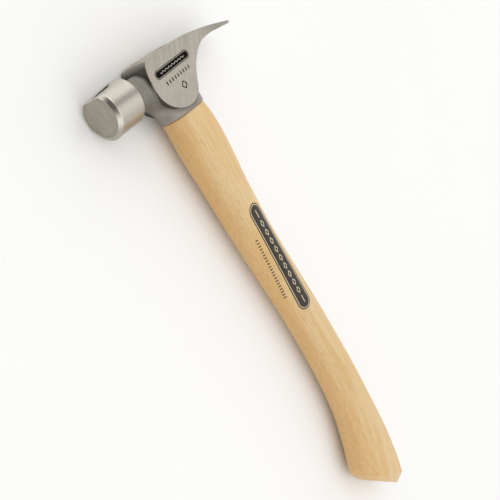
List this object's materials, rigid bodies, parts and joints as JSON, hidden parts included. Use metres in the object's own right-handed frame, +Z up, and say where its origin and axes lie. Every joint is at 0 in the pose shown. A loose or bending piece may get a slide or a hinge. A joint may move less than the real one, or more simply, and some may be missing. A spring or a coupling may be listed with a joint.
{
  "type": "claw hammer",
  "caption": "Claw hammer with a round striking poll, a straight split claw and a curved wooden handle wedged into the head's eye.",
  "frame": {"origin": "middle of the hammer's footprint, on the surface that it lies on with one cheek down", "axes": "+X from the head to the butt of the handle, +Y from the striking face to the claw, +Z up through the cheeks"},
  "size_m": [0.372, 0.1374, 0.029],
  "materials": {
    "head_metal": "warm grey cast titanium alloy, brushed on the poll, cheeks and claw, and matte as cast on the neck and collar",
    "magnet": "plated magnet, slightly worn",
    "handle_wood": "pale straight-grained hickory under a clear satin lacquer",
    "wedge_wood": "unfinished hardwood, cut flush",
    "wedge_steel": "plain rolled steel, dull"
  },
  "bodies": {
    "root": {"hammer_head": "head_metal", "nail_magnet": "magnet", "handle": "handle_wood", "wood_wedge": "wedge_wood", "steel_wedge_front": "wedge_steel", "steel_wedge_rear": "wedge_steel"}
  },
  "joints": []
}
